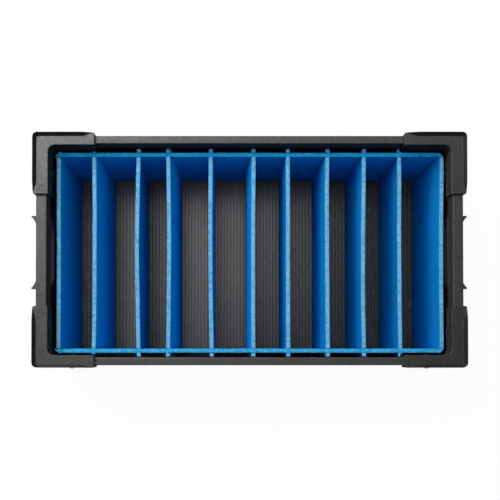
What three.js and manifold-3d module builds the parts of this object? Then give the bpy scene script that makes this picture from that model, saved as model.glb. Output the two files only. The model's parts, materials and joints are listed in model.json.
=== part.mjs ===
import * as THREE from 'three';
import { mergeVertices } from 'three/addons/utils/BufferGeometryUtils.js';
import Module from 'manifold-3d';

// Laptop storage box: a crate folded from twin-wall sheet, with a rim of channel rails, moulded
// stacking corner caps, a hand grip on each end, and a lift-out grid of half-lapped foam sheets.
// Millimetres, +Z up, +X along the box and -Y towards its front. The origin is on the ground
// under the middle of the box.

// Rim rails
const rimLength = 800;
const rimWidth = 430;
const railFlange = 1.9;
const railWeb = 2.2;
const railDepth = 36;
const railEdgeRadius = 1.6;
const railLip = 0.8;

// Twin-wall sheet
const sheetThickness = 5;
const seatGap = 0.3;
const foldRadius = 2.5;
const flapToGrip = 4.5;

// Foam grid
const foamThickness = 8;
const foamHeight = 260;
const foamBelowRail = 41;
const foamClearance = 0.5;
const foamCapClearance = 2.3;
const longSheetSetback = 12.3;
const endSheetSetback = 13.5;
const bayCount = 10;
const lapShare = 0.5;
const leanShares = [0.018, -0.052, 0.086, -0.11, -0.004, 0.106, 0.014, 0.045, -0.003, -0.062, 0.027];
const leanSteps = 5;

// Corner caps
const capLeg = 115;
const capProud = 4.5;
const capReach = 4;
const capSkirt = 50;
const capInnerSkirt = 37;
const capOuterRadius = 9.5;
const capInnerRadius = 12;
const capEndRadius = 3;
const capEdge = 0.9;
const skirtCut = 18;
const ledgeRise = 8;
const lipRise = 10;
const lipFoot = 6.6;
const lipCrest = 1.6;
const lipDraft = 0.8;
const lipEase = 0.4;
const lipRunout = 5;
const lipRamp = 20;
const lipTipRiseShare = 0.08;
const lipTipFootShare = 0.25;
const lipTipCrestShare = 0.5;
const markSetback = 11;
const markDiameter = 12;
const markWidth = 1;
const markDepth = 0.5;

// Rivets
const rivetShank = 4.8;
const rivetHead = 10;
const rivetCrown = 1.8;
const rivetSetback = 68;
const rivetLipMargin = 5;
const headBrowShare = 0.36;
const browRiseShare = 0.75;

// Hand grips
const handHoleLength = 120;
const handHoleHeight = 28;
const gripEndMargin = 10;
const gripSideMargin = 7;
const gripCorner = 8;
const gripPlate = 2.5;
const gripRing = 2.2;
const gripBelowRail = 1.5;
const gripCollar = 2.5;
const gripEdge = 0.7;
const cheekReach = 18.5;
const cheekFoot = 6;
const cheekThickness = 3.5;
const hoodThickness = 3;
const hoodReach = 5;
const hoodFlare = 4;
const gripRivetShank = 3.6;
const gripRivetHead = 7;
const gripRivetCrown = 1.4;
const gripRivetSetback = 9;
const gripRivetInset = 7;

// Fineness of arcs, and the overrun of cutting tools
const arcSteps = 5;
const edgeSteps = 2;
const holeSteps = 8;
const rivetSteps = 10;
const markSteps = 20;
const hoodSteps = 12;
const rampSteps = 4;
const overrun = 1;

// Places that follow from the sizes above
const endLayers = 3;
const longLayers = 2;
const pile = (layers) => layers * sheetThickness + (layers + 1) * seatGap;
const endRailWidth = pile(endLayers) + 2 * railFlange;
const longRailWidth = pile(longLayers) + 2 * railFlange;
const halfLength = rimLength / 2;
const halfWidth = rimWidth / 2;
const openingX = halfLength - endRailWidth;
const openingY = halfWidth - longRailWidth;
const layerStep = sheetThickness + seatGap;
const endFace = halfLength - railFlange - seatGap;
const longFace = halfWidth - railFlange - seatGap;
const foamBottom = sheetThickness + seatGap;
const foamTop = foamBottom + foamHeight;
const railTop = foamTop + foamBelowRail;
const sheetTop = railTop - railWeb - seatGap;
const rivetDrop = railDepth - rivetLipMargin;
const rivetHeight = railTop - rivetDrop;
const rivetX = halfLength + capProud - rivetSetback;
const rivetY = halfWidth + capProud - rivetSetback;
const gripLength = handHoleLength + 2 * gripEndMargin;
const gripHeight = handHoleHeight + 2 * gripSideMargin;
const gripZ = railTop - railDepth - gripBelowRail - gripHeight / 2;
const capOpeningX = openingX - capReach;
const capOpeningY = openingY - capReach;
const capStart = halfLength + capProud - capLeg;

// Materials
const finish = (color, roughness, metalness = 0) => new THREE.MeshStandardMaterial({ color, roughness, metalness });
const sheetFinish = finish(0x2b2d2f, 0.55);
const railFinish = finish(0x3a3b3d, 0.5);
const capFinish = finish(0x3e3f41, 0.6);
const gripFinish = finish(0x2f3032, 0.5);
const rivetFinish = finish(0x333436, 0.35);
const foamFinish = finish(0x1f86d6, 0.85);

// Outlines: an outline is a loop of 2-D points

// Corners are [x, y, radius]. Each radius becomes an arc that runs into both of its sides.
function roundedLoop(corners, steps) {
  return corners.flatMap(([x, y, radius = 0], i) => {
    const here = new THREE.Vector2(x, y);
    if (radius <= 0) return [here];
    const before = corners[(i + corners.length - 1) % corners.length];
    const after = corners[(i + 1) % corners.length];
    const back = new THREE.Vector2(before[0], before[1]).sub(here).normalize();
    const ahead = new THREE.Vector2(after[0], after[1]).sub(here).normalize();
    const half = Math.acos(back.dot(ahead)) / 2;
    const middle = back.clone().add(ahead).setLength(radius / Math.sin(half)).add(here);
    const start = here.clone().addScaledVector(back, radius / Math.tan(half)).sub(middle);
    const turn = -Math.sign(back.cross(ahead)) * (Math.PI - 2 * half);
    const centre = new THREE.Vector2();
    return Array.from({ length: steps + 1 }, (_, step) =>
      start.clone().rotateAround(centre, (turn * step) / steps).add(middle));
  });
}

function rectangle(x0, y0, x1, y1, radius = 0, steps = arcSteps) {
  return roundedLoop([[x0, y0, radius], [x1, y0, radius], [x1, y1, radius], [x0, y1, radius]], steps);
}

function circle(radius, x, y, steps) {
  return Array.from({ length: steps }, (_, i) => {
    const angle = (2 * Math.PI * i) / steps;
    return new THREE.Vector2(x + radius * Math.cos(angle), y + radius * Math.sin(angle));
  });
}

// The two-legged outline of a corner. One leg runs towards -X and is p wide, the other runs
// towards -Y and is q wide, and both end at the same distance from the corner.
function cornerLoop({ outer, p, q, end, outerRadius, innerRadius, endRadius = 0 }) {
  return roundedLoop([
    [end, -p],
    [-q, -p, innerRadius],
    [-q, end],
    [outer, end, endRadius],
    [outer, outer, outerRadius],
    [end, outer, endRadius],
  ], arcSteps);
}

// Solids

const wasm = await Module();
wasm.setup();

function solidOf(geometry) {
  geometry.deleteAttribute('normal');
  geometry.deleteAttribute('uv');
  const merged = mergeVertices(geometry);
  const corners = Array.from(merged.index.array);
  const kept = [];
  for (let i = 0; i < corners.length; i += 3) {
    const [a, b, c] = corners.slice(i, i + 3);
    if (a !== b && b !== c && c !== a) kept.push(a, b, c);
  }
  return new wasm.Manifold(new wasm.Mesh({
    numProp: 3,
    vertProperties: merged.attributes.position.array,
    triVerts: new Uint32Array(kept),
  }));
}

function geometryOf(solid) {
  const mesh = solid.getMesh();
  const geometry = new THREE.BufferGeometry();
  geometry.setAttribute('position', new THREE.BufferAttribute(mesh.vertProperties, 3));
  geometry.setIndex(new THREE.BufferAttribute(mesh.triVerts, 1));
  geometry.computeVertexNormals();
  return geometry;
}

const xAxis = new THREE.Vector3(1, 0, 0);
const yAxis = new THREE.Vector3(0, 1, 0);
const zAxis = new THREE.Vector3(0, 0, 1);
const frames = {
  x: new THREE.Matrix4().makeBasis(yAxis, zAxis, xAxis),
  y: new THREE.Matrix4().makeBasis(zAxis, xAxis, yAxis),
  z: new THREE.Matrix4(),
};

// An outline drawn in (y, z), (x, z) or (x, y) and run along the x, y or z axis.
function prism(axis, loop, from, to) {
  const outline = axis === 'y' ? loop.map((point) => new THREE.Vector2(point.y, point.x)) : loop;
  const settings = { depth: to - from, bevelEnabled: false };
  const geometry = new THREE.ExtrudeGeometry(new THREE.Shape(outline), settings);
  geometry.translate(0, 0, from);
  geometry.applyMatrix4(frames[axis]);
  return solidOf(geometry);
}

function block(low, high) {
  return prism('z', rectangle(low[0], low[1], high[0], high[1]), low[2], high[2]);
}

// Loops of 3-D points, all with the same count, skinned one to the next and closed by end faces.
function loft(loops, endFaces) {
  const count = loops[0].length;
  const last = (loops.length - 1) * count;
  const index = [];
  for (let ring = 0; ring < last; ring += count) {
    for (let i = 0; i < count; i += 1) {
      const next = (i + 1) % count;
      index.push(ring + i, ring + next, ring + count + next);
      index.push(ring + i, ring + count + next, ring + count + i);
    }
  }
  endFaces.forEach(([a, b, c]) => index.push(a, c, b, last + a, last + b, last + c));
  const geometry = new THREE.BufferGeometry();
  const places = loops.flat().flatMap((point) => point.toArray());
  geometry.setAttribute('position', new THREE.Float32BufferAttribute(places, 3));
  geometry.setIndex(index);
  return solidOf(geometry);
}

// Flat loops stacked along z, such as a plate whose edges are eased.
function stack(levels) {
  const loops = levels.map(({ z, loop }) => loop.map((point) => new THREE.Vector3(point.x, point.y, z)));
  return loft(loops, THREE.ShapeUtils.triangulateShape(levels[0].loop, []));
}

// Rim rails: a channel that stands over the sheets, its outer face on y = 0 and its top on z = 0

function makeRail(width, reach, rivetPlace) {
  const inner = -width;
  const section = roundedLoop([
    [0, 0, railEdgeRadius],
    [inner, 0, railEdgeRadius],
    [inner, -railDepth, railLip],
    [inner + railFlange, -railDepth, railLip],
    [inner + railFlange, -railWeb],
    [-railFlange, -railWeb],
    [-railFlange, -railDepth, railLip],
    [0, -railDepth, railLip],
  ], edgeSteps);
  const channel = prism('x', section, -reach, reach);
  return [-rivetPlace, rivetPlace].reduce((rail, x) => rail.subtract(rivetHole('y', x, -rivetDrop, width)), channel);
}

// A clearance hole round a rivet's shank. The flats of its outline clear the shank.
function boreLoop(shank, x, y) {
  return circle((shank / 2 + seatGap) / Math.cos(Math.PI / holeSteps), x, y, holeSteps);
}

// The hole for a cap rivet, across the given axis, from one side of the rim to the other.
function rivetHole(axis, along, height, span) {
  return prism(axis, boreLoop(rivetShank, along, height), -span - overrun, span + overrun);
}

// Corner caps: the origin is the rim's outer corner at the rails' top, the legs run to -X and -Y

function makeCap(pWidth, qWidth, markLeg) {
  const end = capProud - capLeg;
  const body = stack([
    [-capSkirt, capEdge],
    [-capSkirt + capEdge, 0],
    [ledgeRise - capEdge, 0],
    [ledgeRise, capEdge],
  ].map(([z, inset]) => ({
    z,
    loop: cornerLoop({
      outer: capProud - inset,
      p: pWidth + capReach - inset,
      q: qWidth + capReach - inset,
      end: end + inset,
      outerRadius: capOuterRadius - inset,
      innerRadius: capInnerRadius + inset,
      endRadius: capEndRadius - inset,
    }),
  })));
  const skirtWall = capProud - seatGap;
  const channel = prism('z', cornerLoop({
    outer: seatGap,
    p: pWidth + seatGap,
    q: qWidth + seatGap,
    end: end - overrun,
    outerRadius: capOuterRadius - skirtWall,
    innerRadius: capInnerRadius + capReach - seatGap,
  }), -capSkirt - overrun, seatGap);
  const innerRelief = prism('z', cornerLoop({
    outer: -Math.min(pWidth, qWidth) / 2,
    p: pWidth + capReach + overrun,
    q: qWidth + capReach + overrun,
    end: end - overrun,
    outerRadius: 0,
    innerRadius: capInnerRadius - overrun,
  }), -capSkirt - overrun, -capInnerSkirt);
  const legCut = [
    new THREE.Vector2(end - overrun, -capSkirt - overrun),
    new THREE.Vector2(end + skirtCut + overrun, -capSkirt - overrun),
    new THREE.Vector2(end - overrun, -capSkirt + skirtCut + overrun),
  ];
  const across = Math.max(pWidth, qWidth) + capReach;
  const rivetPlace = capProud - rivetSetback;
  const mark = markLeg === 'p'
    ? [end + markSetback, (capProud - lipFoot - pWidth - capReach) / 2]
    : [(capProud - lipFoot - qWidth - capReach) / 2, end + markSetback];
  return body
    .subtract(channel)
    .subtract(innerRelief)
    .add(makeLip(end))
    .subtract(prism('y', legCut, -across - overrun, capProud + overrun))
    .subtract(prism('x', legCut, -across - overrun, capProud + overrun))
    .subtract(rivetHole('y', rivetPlace, -rivetDrop, across))
    .subtract(rivetHole('x', rivetPlace, -rivetDrop, across))
    .subtract(makeMark(...mark));
}

// The stacking lip follows the cap's outer edge round the corner and ramps down near both leg ends.
function makeLip(end) {
  const ramp = Array.from({ length: rampSteps + 1 }, (_, i) => {
    const share = i / rampSteps;
    return { along: end + lipRunout + lipRamp * share, growth: share * share * (3 - 2 * share) };
  });
  const middle = capProud - capOuterRadius;
  const stations = ramp.map(({ along, growth }) => ({ x: along, y: capProud, angle: Math.PI / 2, growth }));
  for (let i = 0; i <= arcSteps; i += 1) {
    const angle = (Math.PI / 2) * (1 - i / arcSteps);
    const x = middle + capOuterRadius * Math.cos(angle);
    const y = middle + capOuterRadius * Math.sin(angle);
    stations.push({ x, y, angle, growth: 1 });
  }
  ramp.reverse().forEach(({ along, growth }) => stations.push({ x: capProud, y: along, angle: 0, growth }));
  const root = -2 * capEdge;
  const grown = (full, tipShare, growth) => full * (tipShare + (1 - tipShare) * growth);
  const loops = stations.map(({ x, y, angle, growth }) => {
    const rise = grown(lipRise, lipTipRiseShare, growth);
    const foot = grown(lipFoot, lipTipFootShare, growth);
    const crest = grown(lipCrest, lipTipCrestShare, growth);
    const draft = grown(lipDraft, lipTipRiseShare, growth);
    const ease = grown(lipEase, lipTipRiseShare, growth);
    return [
      [0, root],
      [0, 0],
      [draft, rise - ease],
      [draft + ease, rise],
      [crest - ease, rise],
      [crest, rise - ease],
      [foot, 0],
      [foot, root],
    ].map(([inward, up]) =>
      new THREE.Vector3(x - inward * Math.cos(angle), y - inward * Math.sin(angle), ledgeRise + up));
  });
  const fan = Array.from({ length: loops[0].length - 2 }, (_, i) => [0, i + 1, i + 2]);
  return loft(loops, fan);
}

// A shallow moulded ring in the ledge near the end of a short-side leg.
function makeMark(x, y) {
  const ring = prism('z', circle(markDiameter / 2, x, y, markSteps), ledgeRise - markDepth, ledgeRise + overrun);
  const core = circle(markDiameter / 2 - markWidth, x, y, markSteps);
  return ring.subtract(prism('z', core, ledgeRise - markDepth - overrun, ledgeRise + 2 * overrun));
}

// Rivets: a shank with a domed head on each face, on the z axis, centred between the faces

function makeRivet(shank, head, crown, grip) {
  const face = grip / 2 + seatGap;
  const side = [
    [shank / 2, face],
    [head / 2, face],
    [headBrowShare * head, face + browRiseShare * crown],
    [0, face + crown],
  ];
  const lower = side.map(([r, z]) => new THREE.Vector2(r, -z)).reverse();
  const profile = lower.concat(side.map(([r, z]) => new THREE.Vector2(r, z)));
  const geometry = new THREE.LatheGeometry(profile, rivetSteps);
  geometry.rotateX(Math.PI / 2);
  return solidOf(geometry);
}

// The rivet through one leg of a cap, in the cap's own frame.
function makeCapRivet(leg, width) {
  const place = capProud - rivetSetback;
  const middle = (capProud - width - capReach) / 2;
  const rivet = makeRivet(rivetShank, rivetHead, rivetCrown, width + capProud + capReach);
  return leg === 'p'
    ? rivet.rotate([90, 0, 0]).translate([place, middle, -rivetDrop])
    : rivet.rotate([0, 90, 0]).translate([middle, place, -rivetDrop]);
}

// Hand grips: the origin is the middle of the hand hole on the end wall's outer face, +X outwards

const throat = (grow) => rectangle(
  -handHoleLength / 2 - grow,
  -handHoleHeight / 2 - grow,
  handHoleLength / 2 + grow,
  handHoleHeight / 2 + grow,
  handHoleHeight / 2 + grow - gripEdge,
);
const gripPlateLoop = (inset) => rectangle(
  -gripLength / 2 + inset,
  -gripHeight / 2 + inset,
  gripLength / 2 - inset,
  gripHeight / 2 - inset,
  gripCorner - inset,
);

// A plate in the (y, z) plane whose outer edges are eased on the side that faces along +X or -X.
function gripPlateSolid(near, far) {
  const side = Math.sign(far - near);
  const levels = [[near, 0], [far - side * gripEdge, 0], [far, gripEdge]];
  if (side < 0) levels.reverse();
  const plate = stack(levels.map(([z, inset]) => ({ z, loop: gripPlateLoop(inset) })));
  return plate.rotate([90, 0, 90]);
}

function makeGripFrame() {
  const plateFace = seatGap + gripPlate;
  const depth = pile(endLayers) - seatGap + gripRing;
  const half = gripLength / 2;
  const top = gripHeight / 2;
  const hoodEdge = Array.from({ length: hoodSteps + 1 }, (_, i) => {
    const share = (2 * i) / hoodSteps - 1;
    const reach = hoodReach + (cheekReach - hoodReach) * share ** hoodFlare;
    return new THREE.Vector2(reach, share * half);
  });
  const hoodRoot = [new THREE.Vector2(seatGap, half), new THREE.Vector2(seatGap, -half)];
  const hood = prism('z', hoodEdge.concat(hoodRoot), top - hoodThickness, top);
  const cheekLoop = roundedLoop([
    [seatGap, top],
    [seatGap, -top + gripCorner],
    [cheekFoot, -top + gripCorner, cheekFoot / 2],
    [cheekReach, top - hoodThickness, cheekFoot],
    [cheekReach, top],
  ], arcSteps);
  const cheeks = [-half, half - cheekThickness].map((y) => prism('y', cheekLoop, y, y + cheekThickness));
  const corners = prism('x', gripCheekBounds(), -depth - overrun, cheekReach + overrun);
  const collar = prism('x', throat(gripCollar), -depth, plateFace);
  return drillGripRivets(gripPlateSolid(seatGap, plateFace), 0)
    .add(hood)
    .add(cheeks[0])
    .add(cheeks[1])
    .add(collar)
    .intersect(corners)
    .subtract(prism('x', throat(0), -depth - overrun, cheekReach + overrun));
}

// The grip's own outline, square at the top, where the hood meets the cheeks.
function gripCheekBounds() {
  const half = gripLength / 2;
  const top = gripHeight / 2;
  return roundedLoop([
    [-half, -top, gripCorner],
    [half, -top, gripCorner],
    [half, top, gripEdge],
    [-half, top, gripEdge],
  ], arcSteps);
}

function makeGripRing() {
  const near = -(pile(endLayers) - seatGap);
  const bore = prism('x', throat(gripCollar + seatGap), near - gripRing - overrun, overrun);
  return drillGripRivets(gripPlateSolid(near, near - gripRing), 0).subtract(bore);
}

function gripRivetPlaces() {
  const y = gripLength / 2 - gripRivetSetback;
  const z = gripHeight / 2 - gripRivetInset;
  return [[-y, -z], [y, -z], [-y, z], [y, z]];
}

function drillGripRivets(piece, height) {
  return gripRivetPlaces().reduce((cut, [y, z]) =>
    cut.subtract(prism('x', boreLoop(gripRivetShank, y, z + height), -halfLength, halfLength)), piece);
}

function makeGripRivets() {
  const outer = seatGap + gripPlate;
  const inner = -(pile(endLayers) - seatGap) - gripRing;
  const rivet = makeRivet(gripRivetShank, gripRivetHead, gripRivetCrown, outer - inner).rotate([0, 90, 0]);
  return gripRivetPlaces().map(([y, z]) => rivet.translate([(outer + inner) / 2, y, z]));
}

// Twin-wall panels: each is flat between the blank's folds

// The hand hole goes through both layers of an end, with holes for the grip's rivets beside it.
function cutHandHole(panel) {
  const hole = prism('x', throat(gripCollar + seatGap), 0, halfLength).translate([0, 0, gripZ]);
  return drillGripRivets(panel.subtract(hole), gripZ);
}

// A fold's outer edge is round, and the panel stands on the ground.
function makeLongWall() {
  const reach = endFace - layerStep;
  const section = roundedLoop([
    [longFace - sheetThickness, 0],
    [longFace, 0, foldRadius],
    [longFace, sheetTop],
    [longFace - sheetThickness, sheetTop],
  ], edgeSteps);
  return drillLongPanel(prism('x', section, -reach, reach));
}

function makeLongLiner() {
  const face = longFace - layerStep;
  const reach = endFace - endLayers * layerStep;
  return drillLongPanel(block([-reach, face - sheetThickness, foamBottom], [reach, face, sheetTop]));
}

function drillLongPanel(panel) {
  return [-rivetX, rivetX].reduce((cut, x) => cut.subtract(rivetHole('y', x, rivetHeight, halfWidth)), panel);
}

function makeEndWall() {
  const section = roundedLoop([
    [endFace - sheetThickness, 0],
    [endFace, 0, foldRadius],
    [endFace, sheetTop],
    [endFace - sheetThickness, sheetTop],
  ], edgeSteps);
  const panel = prism('y', section, -longFace, longFace);
  return cutHandHole(drillEndPanel(panel));
}

function makeEndLiner() {
  const face = endFace - (endLayers - 1) * layerStep;
  const reach = longFace - layerStep;
  const panel = block([face - sheetThickness, -reach, foamBottom], [face, reach, sheetTop]);
  return cutHandHole(drillEndPanel(panel));
}

function drillEndPanel(panel) {
  return [-rivetY, rivetY].reduce((cut, y) => cut.subtract(rivetHole('x', y, rivetHeight, halfLength)), panel);
}

// A corner flap, folded in from a long wall and held between the two layers of the end.
function makeFlap() {
  const face = endFace - layerStep;
  const root = longFace - layerStep;
  const free = gripLength / 2 + flapToGrip;
  const flap = prism('x', roundedLoop([
    [root, foamBottom],
    [root, sheetTop],
    [free, sheetTop, foldRadius],
    [free, foamBottom, foldRadius],
  ], edgeSteps), face - sheetThickness, face);
  return flap.subtract(rivetHole('x', rivetY, rivetHeight, halfLength));
}

function makeFloor() {
  const x = endFace - layerStep;
  const y = longFace - layerStep;
  return block([-x, -y, 0], [x, y, sheetThickness]);
}

// Foam grid: cross sheets stand in slots of the two long sheets, and lean a little above the laps

const longSheetY = openingY - longSheetSetback;
const endSheetX = openingX - endSheetSetback;
const bayPitch = (2 * endSheetX) / bayCount;
const lapHeight = foamBottom + foamHeight * lapShare;
const crossPlaces = leanShares.map((share, i) => ({
  x: -endSheetX + i * bayPitch,
  lean: share * bayPitch,
}));

// The way out between the rails and the caps. It cuts well across the caps' round inner corners.
function makeLiftWay() {
  const x = capOpeningX - foamCapClearance;
  const y = capOpeningY - foamCapClearance;
  const betweenCaps = rectangle(-x, -y, x, y, capInnerRadius - foamCapClearance, 1);
  const legX = capStart - foamClearance;
  const railY = openingY - 2 * foamClearance;
  const betweenLegs = rectangle(-legX, -railY, legX, railY);
  return prism('z', betweenCaps, 0, foamTop + overrun).add(prism('z', betweenLegs, 0, foamTop + overrun));
}

function makeCrossSheet({ x, lean }) {
  const centreline = Array.from({ length: leanSteps + 1 }, (_, i) => {
    const share = i / leanSteps;
    return [x + lean * share * share, lapHeight + (foamTop - lapHeight) * share];
  });
  const right = [[x, foamBottom], ...centreline].map(([at, z]) => new THREE.Vector2(at + foamThickness / 2, z));
  const left = right.map((point) => new THREE.Vector2(point.x - foamThickness, point.y)).reverse();
  const sheet = prism('y', right.concat(left), -openingY, openingY).intersect(makeLiftWay());
  const slotHalf = foamThickness / 2 + seatGap;
  return [-longSheetY, longSheetY].reduce((cut, y) => cut.subtract(block(
    [x - bayPitch / 2, y - slotHalf, lapHeight - seatGap / 2],
    [x + bayPitch / 2, y + slotHalf, foamTop + overrun],
  )), sheet);
}

function makeLongSheet() {
  const slotHalf = foamThickness / 2 + seatGap;
  const slotTop = lapHeight + seatGap / 2;
  const slots = crossPlaces.flatMap(({ x }) => [
    [x - slotHalf, foamBottom],
    [x - slotHalf, slotTop],
    [x + slotHalf, slotTop],
    [x + slotHalf, foamBottom],
  ]);
  const corners = [
    [-openingX, foamBottom],
    ...slots,
    [openingX, foamBottom],
    [openingX, foamTop],
    [-openingX, foamTop],
  ];
  const outline = corners.map(([x, z]) => new THREE.Vector2(x, z));
  const face = longSheetY - foamThickness / 2;
  return prism('y', outline, face, face + foamThickness).intersect(makeLiftWay());
}

// Assembly

const laptopBox = new THREE.Group();
const crate = new THREE.Group();
const foamGrid = new THREE.Group();
laptopBox.add(crate, foamGrid);

function add(group, name, solid, material, position = [0, 0, 0], turn = 0) {
  const mesh = new THREE.Mesh(geometryOf(solid), material);
  mesh.name = name;
  mesh.position.set(...position);
  mesh.rotation.z = turn;
  group.add(mesh);
}

const quarterTurn = Math.PI / 2;
const halfTurn = Math.PI;

add(crate, 'floor_panel', makeFloor(), sheetFinish);
add(crate, 'rear_wall', makeLongWall(), sheetFinish);
add(crate, 'front_wall', makeLongWall(), sheetFinish, [0, 0, 0], halfTurn);
add(crate, 'rear_liner', makeLongLiner(), sheetFinish);
add(crate, 'front_liner', makeLongLiner(), sheetFinish, [0, 0, 0], halfTurn);
add(crate, 'right_end_wall', makeEndWall(), sheetFinish);
add(crate, 'left_end_wall', makeEndWall(), sheetFinish, [0, 0, 0], halfTurn);
add(crate, 'right_end_liner', makeEndLiner(), sheetFinish);
add(crate, 'left_end_liner', makeEndLiner(), sheetFinish, [0, 0, 0], halfTurn);

const flap = makeFlap();
add(crate, 'right_rear_flap', flap, sheetFinish);
add(crate, 'right_front_flap', flap.mirror([0, 1, 0]), sheetFinish);
add(crate, 'left_front_flap', flap, sheetFinish, [0, 0, 0], halfTurn);
add(crate, 'left_rear_flap', flap.mirror([0, 1, 0]), sheetFinish, [0, 0, 0], halfTurn);

const longRail = makeRail(longRailWidth, openingX - seatGap, rivetX);
const endRail = makeRail(endRailWidth, openingY - seatGap, rivetY);
add(crate, 'rear_rail', longRail, railFinish, [0, halfWidth, railTop]);
add(crate, 'front_rail', longRail, railFinish, [0, -halfWidth, railTop], halfTurn);
add(crate, 'right_rail', endRail, railFinish, [halfLength, 0, railTop], -quarterTurn);
add(crate, 'left_rail', endRail, railFinish, [-halfLength, 0, railTop], quarterTurn);

const corners = [
  ['rear_right', [halfLength, halfWidth, railTop], 0, [longRailWidth, endRailWidth, 'q']],
  ['rear_left', [-halfLength, halfWidth, railTop], quarterTurn, [endRailWidth, longRailWidth, 'p']],
  ['front_left', [-halfLength, -halfWidth, railTop], halfTurn, [longRailWidth, endRailWidth, 'q']],
  ['front_right', [halfLength, -halfWidth, railTop], -quarterTurn, [endRailWidth, longRailWidth, 'p']],
];
corners.forEach(([place, position, turn, [pWidth, qWidth, endLeg]]) => {
  add(crate, `cap_${place}`, makeCap(pWidth, qWidth, endLeg), capFinish, position, turn);
  [['p', pWidth], ['q', qWidth]].forEach(([leg, width]) => {
    const name = `rivet_${place}_${leg === endLeg ? 'end' : 'side'}`;
    add(crate, name, makeCapRivet(leg, width), rivetFinish, position, turn);
  });
});

[['right', endFace, 0], ['left', -endFace, halfTurn]].forEach(([side, x, turn]) => {
  const position = [x, 0, gripZ];
  add(crate, `${side}_grip_frame`, makeGripFrame(), gripFinish, position, turn);
  add(crate, `${side}_grip_ring`, makeGripRing(), gripFinish, position, turn);
  makeGripRivets().forEach((rivet, i) =>
    add(crate, `${side}_grip_rivet_${i + 1}`, rivet, rivetFinish, position, turn));
});

crossPlaces.forEach((place, i) => {
  const names = { 0: 'foam_end_left', [bayCount]: 'foam_end_right' };
  add(foamGrid, names[i] ?? `foam_divider_${i}`, makeCrossSheet(place), foamFinish);
});
const longSheet = makeLongSheet();
add(foamGrid, 'foam_long_rear', longSheet, foamFinish);
add(foamGrid, 'foam_long_front', longSheet.mirror([0, 1, 0]), foamFinish);

export default laptopBox;
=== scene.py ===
import json
import math

import bmesh
import bpy
from mathutils import Matrix, Vector, noise


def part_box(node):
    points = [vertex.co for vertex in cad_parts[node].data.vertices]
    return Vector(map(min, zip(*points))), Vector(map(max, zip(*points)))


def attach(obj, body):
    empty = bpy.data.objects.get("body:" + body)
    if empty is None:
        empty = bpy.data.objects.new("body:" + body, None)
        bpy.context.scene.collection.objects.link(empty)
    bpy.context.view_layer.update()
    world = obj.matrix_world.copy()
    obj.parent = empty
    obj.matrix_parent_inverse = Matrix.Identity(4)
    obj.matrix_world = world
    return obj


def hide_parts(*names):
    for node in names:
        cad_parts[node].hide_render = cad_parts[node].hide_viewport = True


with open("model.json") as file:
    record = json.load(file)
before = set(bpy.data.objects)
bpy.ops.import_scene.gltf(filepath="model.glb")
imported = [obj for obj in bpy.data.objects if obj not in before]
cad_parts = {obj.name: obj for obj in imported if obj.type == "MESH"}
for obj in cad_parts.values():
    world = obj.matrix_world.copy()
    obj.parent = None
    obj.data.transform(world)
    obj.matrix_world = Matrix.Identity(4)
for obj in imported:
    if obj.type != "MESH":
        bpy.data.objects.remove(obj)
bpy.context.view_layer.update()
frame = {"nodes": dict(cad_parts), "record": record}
nodes = frame["nodes"]
bodyOf = {node: body for body, members in frame["record"]["behaviour"]["bodies"].items() for node in members}
scene = bpy.context.scene
print("frame loaded with", len(nodes), "solids")


# Camera: almost straight down, a little in front of the box's middle, with the frame shifted back over it

camera = {
    "place": (-0.0306, -0.1788, 2.0063),
    "pitch": 0.018,
    "lens": 65.56,
    "sensor": 36,
    "shift": (0.0336, 0.159),
}


def addCamera():
    made = bpy.data.cameras.new("camera")
    made.lens = camera["lens"]
    made.sensor_width = camera["sensor"]
    made.shift_x, made.shift_y = camera["shift"]
    seat = bpy.data.objects.new("camera", made)
    seat.location = camera["place"]
    seat.rotation_euler.x = camera["pitch"]
    scene.collection.objects.link(seat)
    scene.camera = seat


# Shader maths: a wire is one socket, and an expression on wires adds the nodes that work it out

class Wire:
    def __init__(self, shader, socket):
        self.shader = shader
        self.socket = socket

    def maths(self, operation, first, second):
        return self.shader.node("ShaderNodeMath", {"operation": operation}, {0: first, 1: second})

    def __add__(self, other):
        return self.maths("ADD", self, other)

    def __radd__(self, other):
        return self.maths("ADD", other, self)

    def __sub__(self, other):
        return self.maths("SUBTRACT", self, other)

    def __rsub__(self, other):
        return self.maths("SUBTRACT", other, self)

    def __mul__(self, other):
        return self.maths("MULTIPLY", self, other)

    def __rmul__(self, other):
        return self.maths("MULTIPLY", other, self)


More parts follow.
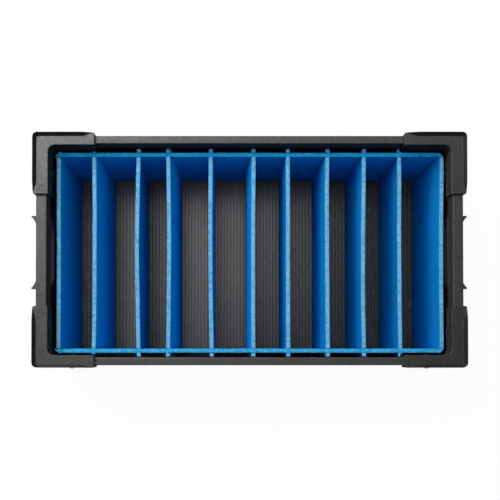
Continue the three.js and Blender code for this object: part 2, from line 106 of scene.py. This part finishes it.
class Shader:
    def __init__(self, name, surface="ShaderNodeBsdfPrincipled"):
        isWorld = surface == "ShaderNodeBackground"
        self.material = (bpy.data.worlds if isWorld else bpy.data.materials).new(name)
        self.material.use_nodes = True
        self.tree = self.material.node_tree
        self.tree.nodes.clear()
        self.surface = self.tree.nodes.new(surface)
        self.result = self.tree.nodes.new("ShaderNodeOutputWorld" if isWorld else "ShaderNodeOutputMaterial")
        self.feed(self.result.inputs["Surface"], Wire(self, self.surface.outputs[0]))

    def feed(self, socket, value):
        if isinstance(value, Wire):
            self.tree.links.new(value.socket, socket)
        elif isinstance(value, tuple) and len(value) == 3 and socket.type == "RGBA":
            socket.default_value = (*value, 1)
        else:
            socket.default_value = value

    def node(self, kind, settings=None, sockets=None, output=0):
        made = self.tree.nodes.new(kind)
        for setting, value in (settings or {}).items():
            if setting == "stops":
                for stop, (at, level) in zip(made.color_ramp.elements, value):
                    stop.position = at
                    stop.color = (level, level, level, 1)
            else:
                setattr(made, setting, value)
        for socket, value in (sockets or {}).items():
            self.feed(made.inputs[socket], value)
        return Wire(self, made.outputs[output])

    def place(self, stretch=(1, 1, 1)):
        at = self.node("ShaderNodeTexCoord", output="Object")
        return self.node("ShaderNodeMapping", sockets={"Vector": at, "Scale": stretch})

    def noise(self, place, size, detail=2.0, roughness=0.5):
        return self.node("ShaderNodeTexNoise", sockets={
            "Vector": place, "Scale": 1 / size, "Detail": detail, "Roughness": roughness})

    def bands(self, place, pitch, along):
        return self.node("ShaderNodeTexWave", {"bands_direction": along},
                         {"Vector": place, "Scale": math.pi / 10 / pitch, "Distortion": 0.0})

    def ray(self, kind):
        return self.node("ShaderNodeLightPath", output="Is " + kind + " Ray")

    def seenRay(self):
        return self.ray("Camera") + self.ray("Transmission")

    def step(self, value, low, high):
        return self.node("ShaderNodeValToRGB", {"stops": ((low, 0), (high, 1))}, {"Fac": value})

    def mix(self, share, first, second):
        return self.node("ShaderNodeMix", {"data_type": "RGBA"}, {0: share, 6: first, 7: second}, output=2)

    def attribute(self, name):
        return self.node("ShaderNodeAttribute", {"attribute_name": name}, output="Fac")

    def bump(self, height, depth, over=None):
        sockets = {"Height": height, "Distance": depth, "Strength": 1.0}
        if over:
            sockets["Normal"] = over
        return self.node("ShaderNodeBump", sockets=sockets, output="Normal")

    def set(self, **values):
        for name, value in values.items():
            self.feed(self.surface.inputs[name.replace("_", " ")], value)
        return self.material


# Moulded, extruded and sheet plastics: each finish is one dictionary, and all share one way of mixing.
# Sizes and depths are in metres, and a stretch below 1 draws the streaks out along that axis

webPitch = 0.0072  # the twin-wall sheet's webs, which show as lines on the floor too

capFinish = {
    "dark": (0.0095, 0.0095, 0.0098), "light": (0.016, 0.016, 0.0164), "scuff": (0.04, 0.04, 0.041),
    "roughness": 0.43, "unevenness": 0.1, "specular": 0.5,
    "mottle": 0.004, "coat": 1.0, "coatRoughness": 0.43, "coatIor": 1.4,
    "cloud": 0.02, "grain": 0.0024, "grainDepth": 0.00028,
    "stretch": (1, 1, 1), "streak": 0.005, "streakDepth": 0.00003, "scuffShare": 0.4,
}
railFinish = {
    "dark": (0.0175, 0.0175, 0.018), "light": (0.025, 0.025, 0.0256), "scuff": (0.058, 0.058, 0.059),
    "roughness": 0.44, "unevenness": 0.08, "specular": 0.4,
    "mottle": 0.004, "coat": 1.0, "coatRoughness": 0.44, "coatIor": 1.38,
    "cloud": 0.05, "grain": 0.0014, "grainDepth": 0.0001,
    "stretch": (0.03, 1, 1), "streak": 0.0022, "streakDepth": 0.00022, "scuffShare": 0.25,
}
gripFinish = {
    "dark": (0.0175, 0.0175, 0.018), "light": (0.026, 0.026, 0.0265), "scuff": (0.048, 0.048, 0.049),
    "roughness": 0.42, "unevenness": 0.12, "specular": 0.45,
    "cloud": 0.02, "grain": 0.0007, "grainDepth": 0.00006,
    "stretch": (1, 1, 1), "streak": 0.003, "streakDepth": 0.00002, "scuffShare": 0.3,
}
rivetFinish = {
    "dark": (0.0145, 0.0145, 0.0148), "light": (0.022, 0.022, 0.0223), "scuff": (0.044, 0.044, 0.045),
    "roughness": 0.28, "unevenness": 0.1, "specular": 0.5,
    "cloud": 0.006, "grain": 0.0004, "grainDepth": 0.00001,
    "stretch": (1, 1, 1), "streak": 0.002, "streakDepth": 0.00001, "scuffShare": 0.25,
}
sheetFinish = {
    "dark": (0.019, 0.0192, 0.02), "light": (0.029, 0.0293, 0.03), "scuff": (0.065, 0.066, 0.068),
    "roughness": 0.4, "unevenness": 0.14, "specular": 0.45,
    "cloud": 0.025, "grain": 0.0012, "grainDepth": 0.00003,
    "stretch": (1, 1, 1), "streak": 0.0022, "streakDepth": 0.00005, "scuffShare": 0.25,
}
floorFinish = {
    "dark": (0.026, 0.023, 0.019), "light": (0.088, 0.078, 0.065), "scuff": (0.1, 0.09, 0.076),
    "roughness": 0.27, "unevenness": 0.04, "specular": 0.6,
    "cloud": 0.05, "grain": 0.0012, "grainDepth": 0.00002,
    "stretch": (1, 0.03, 1), "streak": 0.003, "streakDepth": 0.00002, "scuffShare": 0.1,
    # the flutes' share of the colour is a painted sheen: lighter bands between the webs, where the fluted
    # skin catches the light
    "flutes": "X", "flutePitch": webPitch, "paintedFluteSheen": 0.4,
    "coat": 1.0, "coatRoughness": 0.27, "coatIor": 1.5,
}
plasticMix = {
    "cloudTone": 0.5, "grainTone": 0.3, "streakTone": 0.2,
    "scuffSize": 3, "scuffFrom": 0.58, "scuffTo": 0.74,
    # the bevelled edges turn towards the scuff colour: partly rubbed wear, partly a painted highlight along
    # the rounded edges
    "edgeWearAndHighlight": 0.3, "edgeWearAndHighlightInClouds": 0.4,
    "streakRoughness": 0.06, "pitRoughness": 0.45,
    "mottleFrom": 0.3, "mottleTo": 0.7,
}


def plastic(name, finish, stretch=None):
    shader = Shader(name)
    mix = plasticMix
    place = shader.place()
    drawn = shader.place(stretch or finish["stretch"])
    cloud = shader.noise(place, finish["cloud"], detail=4, roughness=0.6)
    grain = shader.noise(place, finish["grain"], detail=3, roughness=0.65)
    streak = shader.noise(drawn, finish["streak"], detail=3, roughness=0.6)
    scratches = shader.noise(drawn, finish["streak"] * mix["scuffSize"], detail=6, roughness=0.75)
    scuff = shader.step(scratches, mix["scuffFrom"], mix["scuffTo"])
    edge = shader.attribute("edge")
    pit = shader.attribute("pit")
    tone = cloud * mix["cloudTone"] + grain * mix["grainTone"] + streak * mix["streakTone"]
    smoothest = finish["roughness"] - mix["streakRoughness"] / 2
    rough = (cloud - 0.5) * finish["unevenness"] + streak * mix["streakRoughness"] + pit * mix["pitRoughness"]
    if "mottle" in finish:
        gloss = shader.step(shader.noise(place, finish["mottle"]), mix["mottleFrom"], mix["mottleTo"])
    if "flutes" in finish:
        gloss = shader.bands(place, finish["flutePitch"], finish["flutes"])
        # the bands also lighten the colour between the webs: a painted sheen of the fluted skin
        tone = tone * (1 - finish["paintedFluteSheen"]) + gloss * finish["paintedFluteSheen"]
    if "coat" in finish:
        shader.set(Coat_Weight=gloss * (1 - pit) * finish["coat"], Coat_Roughness=finish["coatRoughness"],
                   Coat_IOR=finish["coatIor"])
    colour = shader.mix(tone, finish["dark"], finish["light"])
    worn = shader.mix(scuff * cloud * finish["scuffShare"], colour, finish["scuff"])
    # bevelled edges lightened: partly rubbed wear, partly a painted highlight
    wornAndHighlit = shader.mix(edge * (mix["edgeWearAndHighlight"] + cloud * mix["edgeWearAndHighlightInClouds"]), worn, finish["scuff"])
    relief = shader.bump(grain, finish["grainDepth"])
    lined = shader.bump(streak, finish["streakDepth"], relief)
    return shader.set(Base_Color=wornAndHighlit, Roughness=rough + smoothest, Specular_IOR_Level=finish["specular"],
                      Normal=lined)


# Closed-cell foam: deep blue skins, and paler cut edges with open cells and specks

foamFinish = {
    "skin": (0.0, 0.255, 0.65), "skinLight": (0.0008, 0.365, 0.82),
    "roughness": 0.8, "speckRoughness": 0.12, "specular": 0.06,
    "cell": 0.0016, "cellDepth": 0.0004, "skinCellShare": 0.4, "speck": 0.006, "cloud": 0.045,
    "cloudTone": 0.45, "speckTone": 0.25, "cellTone": 0.35,
    "openFrom": 0.34, "openTo": 0.64,
}
# the darker and the lighter colour of each sheet's cut edges
foamCuts = {
    "foamCross": ((0.038, 0.226, 0.41), (0.19, 0.46, 0.71)),
    "foamLongRear": ((0.0022, 0.162, 0.41), (0.017, 0.375, 0.76)),
    "foamLongFront": ((0.0045, 0.18, 0.4), (0.055, 0.42, 0.74)),
}


def foam(name):
    shader = Shader(name)
    place = shader.place()
    cells = shader.node("ShaderNodeTexVoronoi", sockets={
        "Vector": place, "Scale": 1 / foamFinish["cell"], "Randomness": 1.0})
    specks = shader.noise(place, foamFinish["speck"], detail=4, roughness=0.8)
    cloud = shader.noise(place, foamFinish["cloud"], detail=3, roughness=0.55)
    cut = shader.attribute("cut")
    tone = cloud * foamFinish["cloudTone"] + specks * foamFinish["speckTone"] + cells * foamFinish["cellTone"]
    skin = shader.mix(tone, foamFinish["skin"], foamFinish["skinLight"])
    opened = shader.mix(shader.step(specks, foamFinish["openFrom"], foamFinish["openTo"]), *foamCuts[name])
    flat = foamFinish["skinCellShare"]
    height = cells * (flat + cut * (1 - flat)) + specks * cut
    return shader.set(
        Base_Color=shader.mix(cut, skin, opened),
        Roughness=foamFinish["roughness"] + specks * foamFinish["speckRoughness"],
        Specular_IOR_Level=foamFinish["specular"],
        Normal=shader.bump(height, foamFinish["cellDepth"]))


# Mesh helpers: distances in metres, and the angle in degrees up to which neighbours count as one flat

merging = {"distance": 0.00002, "flat": 0.5, "plane": 0.000001}


def cadCopy(name):
    mesh = bmesh.new()
    mesh.from_mesh(nodes[name].data)
    bmesh.ops.remove_doubles(mesh, verts=mesh.verts, dist=merging["distance"])
    bmesh.ops.dissolve_limit(mesh, angle_limit=math.radians(merging["flat"]), use_dissolve_boundaries=False,
                             verts=mesh.verts, edges=mesh.edges)
    return mesh


def cut(mesh, axis, at):
    way = Vector((axis == 0, axis == 1, axis == 2))
    bmesh.ops.bisect_plane(mesh, geom=mesh.verts[:] + mesh.edges[:] + mesh.faces[:], dist=merging["plane"],
                           plane_co=way * at, plane_no=way)


def roundEdges(mesh, width, steps, sharp, chosen=None):
    layer = mesh.faces.layers.float.get("edge") or mesh.faces.layers.float.new("edge")
    edges = [e for e in mesh.edges
             if e.calc_face_angle(0) > math.radians(sharp) and (chosen is None or chosen(e))]
    made = bmesh.ops.bevel(mesh, geom=edges, offset=width, offset_type="OFFSET", segments=steps, profile=0.5,
                           affect="EDGES", clamp_overlap=False, material=-1)
    for face in made["faces"]:
        face[layer] = 1


def weightedNormals(mesh, smooth):
    # a corner's normal leans towards the larger of the faces that meet smoothly there, so flats stay flat
    limit = math.cos(math.radians(smooth))
    mesh.normal_update()
    areas = {face: face.calc_area() for face in mesh.faces}
    return [sum((near.normal * areas[near] for near in loop.vert.link_faces
                 if near.normal.dot(face.normal) > limit), Vector()).normalized()
            for face in mesh.faces for loop in face.loops]


def finishPiece(mesh, name, node, material, smooth=35, weighted=True):
    data = bpy.data.meshes.new(name)
    mesh.normal_update()
    normals = weightedNormals(mesh, smooth) if weighted else None
    mesh.to_mesh(data)
    mesh.free()
    data.shade_smooth()
    if weighted:
        data.normals_split_custom_set(normals)
    else:
        data.set_sharp_from_angle(angle=math.radians(smooth))
    data.materials.append(material)
    piece = bpy.data.objects.new(name, data)
    scene.collection.objects.link(piece)
    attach(piece, bodyOf[node])
    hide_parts(node)
    return piece


# Twin-wall sheet: the skins sink a little at every web, and a cut end shows its open flutes

sheet = {
    "pitch": webPitch, "sink": 0.00022, "valley": 0.0014,
    "skin": 0.0007, "web": 0.00035, "cellDepth": 0.012, "endFacing": 0.99, "endReach": 0.0001,
    "acrossX": ["floor_panel", "front_wall", "rear_wall", "front_liner", "rear_liner"],
    "acrossZ": ["left_end_wall", "right_end_wall", "left_end_liner", "right_end_liner",
                "left_front_flap", "left_rear_flap", "right_front_flap", "right_rear_flap"],
    "openEnds": ["left_end_wall", "right_end_wall"],
}


def webPlaces(low, high):
    first = math.ceil(low / sheet["pitch"])
    last = math.floor(high / sheet["pitch"])
    return [k * sheet["pitch"] for k in range(first, last + 1)]


def openFlutes(mesh, low, high, webs):
    # the cut ends face along Y, with the sheet's thickness along X and its webs stacked along Z
    for at in (low.x + sheet["skin"], high.x - sheet["skin"]):
        cut(mesh, 0, at)
    for web in webs:
        cut(mesh, 2, web - sheet["web"])
        cut(mesh, 2, web + sheet["web"])
    for end, inward in ((low.y, 1), (high.y, -1)):
        cells = []
        for face in mesh.faces:
            middle = face.calc_center_median()
            nearWeb = min(abs(middle.z - web) for web in webs)
            isEnd = abs(face.normal.y) > sheet["endFacing"] and abs(middle.y - end) < sheet["endReach"]
            if (isEnd and nearWeb > sheet["web"]
                    and low.x + sheet["skin"] < middle.x < high.x - sheet["skin"]
                    and webs[0] < middle.z < webs[-1]):
                cells.append(face)
        made = bmesh.ops.extrude_face_region(mesh, geom=cells)
        moved = [v for v in made["geom"] if isinstance(v, bmesh.types.BMVert)]
        bmesh.ops.delete(mesh, geom=cells, context="FACES")
        bmesh.ops.translate(mesh, verts=moved, vec=Vector((0, inward * sheet["cellDepth"], 0)))


def flutedPanel(name, across, material):
    low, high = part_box(name)
    size = high - low
    through = min(range(3), key=lambda axis: size[axis])
    middle = (low[through] + high[through]) / 2
    webs = webPlaces(low[across] + sheet["valley"] * 2, high[across] - sheet["valley"] * 2)
    mesh = cadCopy(name)
    for web in webs:
        for offset in (-sheet["valley"], 0, sheet["valley"]):
            cut(mesh, across, web + offset)
    for vert in mesh.verts:
        onWeb = min(abs(vert.co[across] - web) for web in webs) < merging["distance"]
        if onWeb and abs(abs(vert.co[through] - middle) - size[through] / 2) < merging["distance"]:
            vert.co[through] += math.copysign(sheet["sink"], middle - vert.co[through])
    if name in sheet["openEnds"]:
        openFlutes(mesh, low, high, webs)
    return finishPiece(mesh, name + "_sheet", name, material)


def addSheets():
    standing = plastic("twinWallStanding", sheetFinish, (1, 1, 0.04))
    level = plastic("twinWallLevel", sheetFinish, (1, 0.04, 1))
    floor = plastic("twinWallFloor", floorFinish)
    for name in sheet["acrossX"]:
        flutedPanel(name, 0, floor if name == "floor_panel" else standing)
    for name in sheet["acrossZ"]:
        flutedPanel(name, 2, level)


# Rim: channel rails and moulded corner caps

rim = {
    "rails": {
        "front_rail": (0.03, 1, 1),
        "rear_rail": (0.03, 1, 1),
        "left_rail": (1, 0.03, 1),
        "right_rail": (1, 0.03, 1),
    },
    "railEdge": 0.00025,
    "caps": ["cap_front_left", "cap_front_right", "cap_rear_left", "cap_rear_right"],
    "capEdge": 0.0003,
    "markWall": 0.0006,
    "upright": 0.1,
    "sharp": 30,
    "steps": 2,
}


def isMarkWall(face):
    # the moulded ring's walls are the only upright faces as low as this
    heights = [vert.co.z for vert in face.verts]
    return abs(face.normal.z) < rim["upright"] and max(heights) - min(heights) < rim["markWall"]


def onMark(edge):
    return any(isMarkWall(face) for face in edge.link_faces)


def dullSkirts(mesh):
    # the upright walls that face the box's inside are left matt by the mould
    layer = mesh.faces.layers.float.new("pit")
    for face in mesh.faces:
        inward = -face.calc_center_median()
        if abs(face.normal.z) < rim["upright"] and face.normal.xy.dot(inward.xy) > 0:
            face[layer] = 1


def dullMark(mesh):
    # the ring's walls and the faces at their feet
    layer = mesh.faces.layers.float["pit"]
    for wall in [face for face in mesh.faces if isMarkWall(face)]:
        wall[layer] = 1
        foot = min(wall.edges, key=lambda edge: sum(vert.co.z for vert in edge.verts) / 2)
        for face in foot.link_faces:
            face[layer] = 1


def addRim():
    for name, stretch in rim["rails"].items():
        mesh = cadCopy(name)
        dullSkirts(mesh)
        roundEdges(mesh, rim["railEdge"], rim["steps"], rim["sharp"])
        railPlastic = plastic(name + "Plastic", railFinish, stretch)
        finishPiece(mesh, name + "_extrusion", name, railPlastic)
    capPlastic = plastic("capPlastic", capFinish)
    for name in rim["caps"]:
        mesh = cadCopy(name)
        dullSkirts(mesh)
        dullMark(mesh)
        roundEdges(mesh, rim["capEdge"], rim["steps"], rim["sharp"], lambda edge: not onMark(edge))
        finishPiece(mesh, name + "_moulding", name, capPlastic)


# Grips

grips = {
    "names": ["left_grip_frame", "right_grip_frame", "left_grip_ring", "right_grip_ring"],
    "edge": 0.00025,
    "sharp": 30,
    "steps": 2,
}


def addGrips():
    gripPlastic = plastic("gripPlastic", gripFinish)
    for name in grips["names"]:
        mesh = cadCopy(name)
        roundEdges(mesh, grips["edge"], grips["steps"], grips["sharp"])
        finishPiece(mesh, name + "_moulding", name, gripPlastic)


# Push rivets: a domed head on each face, with the drive pin's end set in its middle

rivet = {
    "turns": 28,
    "smooth": 50,
    "crown": 0.0018,
    "gripCrown": 0.0014,
    # shares of the head's radius and of its crown: shank, rim, dome, groove and the pin's end
    "head": [
        (0.48, 0), (0.97, 0), (1, 0.16), (0.96, 0.34), (0.8, 0.72), (0.6, 0.95),
        (0.45, 1), (0.4, 0.65), (0.34, 0.65), (0.32, 0.8), (0.204, 0.9), (0, 0.94),
    ],
}


def rivetProfile(radius, crown, face):
    upper = [(radius * out, face + crown * up) for out, up in rivet["head"]]
    return [(out, -up) for out, up in reversed(upper)] + upper


def addRivets():
    rivetPlastic = plastic("rivetPlastic", rivetFinish)
    for name in [n for n in nodes if "rivet" in n]:
        low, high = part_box(name)
        size = high - low
        axis = max(range(3), key=lambda a: size[a])
        radius = (size.z if axis != 2 else size.x) / 2
        crown = rivet["gripCrown" if "grip" in name else "crown"]
        profile = rivetProfile(radius, crown, size[axis] / 2 - crown)
        mesh = bmesh.new()
        verts = [mesh.verts.new((out, 0, up)) for out, up in profile]
        edges = [mesh.edges.new(pair) for pair in zip(verts, verts[1:])]
        bmesh.ops.spin(mesh, geom=verts + edges, cent=(0, 0, 0), axis=(0, 0, 1), dvec=(0, 0, 0),
                       angle=2 * math.pi, steps=rivet["turns"], use_merge=True)
        bmesh.ops.remove_doubles(mesh, verts=mesh.verts, dist=merging["distance"] / 4)
        turn = Matrix.Rotation(math.pi / 2, 4, "Y") if axis == 0 else Matrix.Rotation(math.pi / 2, 4, "X")
        bmesh.ops.transform(mesh, matrix=Matrix.Translation((low + high) / 2) @ turn, verts=mesh.verts)
        bmesh.ops.recalc_face_normals(mesh, faces=mesh.faces)
        finishPiece(mesh, name + "_head", name, rivetPlastic, smooth=rivet["smooth"])


# Foam sheets: soft edges, a slightly wavy cut along the top, and the bows of sheets that stand in slots

foamSheets = {
    "edge": 0.0009,
    "edgeSteps": 3,
    "sharp": 30,
    "smooth": 60,
    "grid": 0.005,
    "rows": 0.012,
    "faceReach": 1.1,
    "seedStep": 3,
    "waveSize": 0.11,
    "wave": 0.0007,
    "longWaveShare": 0.5,
    "nibbleSize": 0.009,
    "nibble": 0.00035,
    "nibbleReach": 0.004,
    "fill": 0.95,
    "long": {"foam_long_front": "foamLongFront", "foam_long_rear": "foamLongRear"},
}
# how far the top of a cross sheet stands to the right of its solid, at its rear end, its middle and its front
bows = {
    "foam_end_left": (-0.0004, 0.0008, 0.0005),
    "foam_divider_1": (-0.0009, 0.0012, -0.0009),
    "foam_divider_2": (0.002, -0.001, 0.003),
    "foam_divider_3": (-0.0012, 0.001, -0.001),
    "foam_divider_4": (0.0, -0.001, 0.0024),
    "foam_divider_5": (0.001, -0.0004, 0.0001),
    "foam_divider_6": (-0.0002, -0.0002, 0.0004),
    "foam_divider_7": (0.0005, -0.001, 0.0006),
    "foam_divider_8": (0.0013, -0.0016, -0.0003),
    "foam_divider_9": (-0.0005, -0.0012, 0.0006),
    "foam_end_right": (0.0017, -0.0003, -0.0002),
}


def bowAt(name, share):
    rear, middle, front = bows[name]
    return middle + (rear - front) / 2 * share + ((rear + front) / 2 - middle) * share * share


def foamSheet(name, material):
    low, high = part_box(name)
    isLong = name in foamSheets["long"]
    along, through = (0, 1) if isLong else (1, 0)
    mesh = cadCopy(name)
    roundEdges(mesh, foamSheets["edge"], foamSheets["edgeSteps"], foamSheets["sharp"])
    count = round((high[along] - low[along]) / foamSheets["grid"])
    for i in range(1, count):
        cut(mesh, along, low[along] + (high[along] - low[along]) * i / count)
    rows = round((high.z - low.z) / foamSheets["rows"])
    for i in range(1, rows):
        cut(mesh, 2, low.z + (high.z - low.z) * i / rows)
    mesh.normal_update()
    layer = mesh.verts.layers.float.new("cut")
    lapHeight = (low.z + high.z) / 2
    for vert in mesh.verts:
        vert[layer] = 1 - min(1, abs(vert.normal[through]) ** 2 * foamSheets["faceReach"])
        seed = vert.co + Vector((low.x * foamSheets["seedStep"], 0, 0))
        wave = noise.noise(seed / foamSheets["waveSize"]) * foamSheets["wave"]
        above = max(0, (vert.co.z - lapHeight) / (high.z - lapHeight))
        if isLong:
            vert.co.y += wave * above * foamSheets["longWaveShare"]
        else:
            vert.co.x += (bowAt(name, vert.co.y / high.y) + wave) * above
        if vert.co.z > high.z - foamSheets["nibbleReach"]:
            vert.co.z -= (0.5 + noise.noise(seed / foamSheets["nibbleSize"])) * foamSheets["nibble"]
    piece = finishPiece(mesh, name + "_sheet", name, material,
                        smooth=foamSheets["smooth"], weighted=False)


def addFoam():
    crossFoam = foam("foamCross")
    for name in bows:
        foamSheet(name, crossFoam)
    for name, material in foamSheets["long"].items():
        foamSheet(name, foam(material))


# Floor, lamps and surround

studio = {
    "floor": 6,
    "floorColour": (0.86, 0.86, 0.86),
    "floorRoughness": 0.9,
    "floorWhite": 0.95,
    "surround": (0.93, 0.96, 1.0),
    "surroundStrength": 0.25,
    "glossStrength": 0.035,
    # name, place, target, size in metres, power in watts, and the light that it gives
    "lamps": [
        ("keyLamp", (-1.25, 1.2, 2.6), (0, 0, 0.3), 2.2, 68, "diffuse"),
        ("fillLamp", (1.1, 0.3, 2.6), (0, 0, 0.3), 1.6, 7, "diffuse"),
        ("overheadLamp", (0.1, 0.3, 2.7), (0, 0, 0.2), 1.6, 22, "diffuse"),
        ("sheenLamp", (-0.85, 1.5, 2.6), (0, 0, 0.3), 1.2, 42, "glossy"),
        ("rightSheenLamp", (0.85, 1.5, 2.6), (0, 0, 0.3), 1.2, 6, "glossy"),
        ("sideSheenLamp", (-1.8, 1.35, 2.4), (0, 0, 0.3), 1.2, 66, "glossy"),
        ("floorSheenLamp", (-0.42, 0.45, 2.7), (0, 0, 0.2), 1.4, 9, "glossy"),
    ],
}


def addFloor():
    shader = Shader("paleFloor")
    glow = shader.node("ShaderNodeEmission", sockets={"Color": (1.0, 1.0, 1.0), "Strength": 1.0})
    shader.set(Base_Color=studio["floorColour"], Roughness=studio["floorRoughness"])
    blend = shader.node("ShaderNodeMixShader", sockets={
        0: shader.seenRay() * studio["floorWhite"], 1: Wire(shader, shader.surface.outputs[0]), 2: glow})
    shader.feed(shader.result.inputs["Surface"], blend)
    mesh = bmesh.new()
    bmesh.ops.create_grid(mesh, x_segments=1, y_segments=1, size=studio["floor"])
    data = bpy.data.meshes.new("floor")
    mesh.to_mesh(data)
    mesh.free()
    data.materials.append(shader.material)
    floor = bpy.data.objects.new("floor", data)
    scene.collection.objects.link(floor)


def addSurround():
    shader = Shader("surround", "ShaderNodeBackground")
    seen = shader.seenRay()
    soft = studio["surroundStrength"]
    inGloss = studio["glossStrength"]
    scene.world = shader.set(
        Color=shader.mix(seen, studio["surround"], (1.0, 1.0, 1.0)),
        Strength=seen * (1 - soft) + shader.ray("Glossy") * (inGloss - soft) + soft)


def addLamps():
    # a lamp lights either matt surfaces or the sheen on smooth ones, so the two are set apart
    for name, place, target, size, power, lights in studio["lamps"]:
        lamp = bpy.data.lights.new(name, "AREA")
        lamp.shape = "DISK"
        lamp.size = size
        lamp.energy = power
        seat = bpy.data.objects.new(name, lamp)
        seat.location = place
        seat.visible_glossy = lights == "glossy"
        seat.visible_diffuse = lights == "diffuse"
        seat.rotation_euler = (Vector(target) - Vector(place)).to_track_quat("-Z", "Y").to_euler()
        scene.collection.objects.link(seat)


addCamera()
addSheets()
print("twin-wall sheets fluted")
addRim()
addGrips()
addRivets()
print("rim, grips and rivets made")
addFoam()
print("foam sheets made")
addFloor()
addSurround()
addLamps()
scene.view_settings.view_transform = "Standard"

print("stage set")
